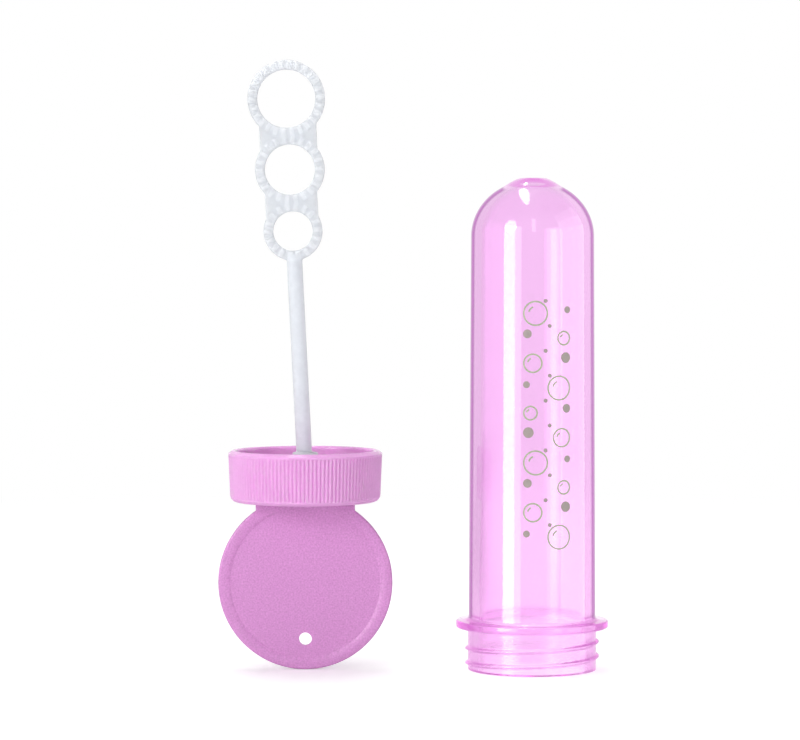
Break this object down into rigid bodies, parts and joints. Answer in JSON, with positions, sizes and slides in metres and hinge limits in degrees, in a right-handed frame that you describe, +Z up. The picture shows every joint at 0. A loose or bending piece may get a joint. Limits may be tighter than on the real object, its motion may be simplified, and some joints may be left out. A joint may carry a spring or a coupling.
{
  "type": "bubble wand",
  "caption": "Soap bubble set: domed tube with a screw neck, beside its grip-ribbed screw cap, which carries a wand of ribbed rings and a round hang tab with a cord hole.",
  "frame": {"origin": "middle of the set's footprint, on the plane that the tube and the hang tab stand on", "axes": "+X from the cap to the tube, +Y away from the viewer, +Z up along the axes of tube and cap"},
  "size_m": [0.0846, 0.0334, 0.132],
  "materials": {
    "tube_clear": "clear pink, polished",
    "cap_plastic": "pink, glossy",
    "seal_foam": "white foam",
    "wand_plastic": "white, satin"
  },
  "bodies": {
    "tube": {"tube": "tube_clear"},
    "seal": {"seal_washer": "seal_foam"},
    "cap_and_wand": {"cap": "cap_plastic", "wand": "wand_plastic"}
  },
  "joints": [
    {"name": "cap_lift", "type": "slide", "parent": "tube", "child": "seal", "axis": [0, 0, 1], "range_m": [0, 0.1]},
    {"name": "cap_turn", "type": "hinge", "parent": "seal", "child": "cap_and_wand", "pos_m": [-0.0234, 0, 0.0383], "axis": [0, 0, 1], "continuous": true}
  ]
}
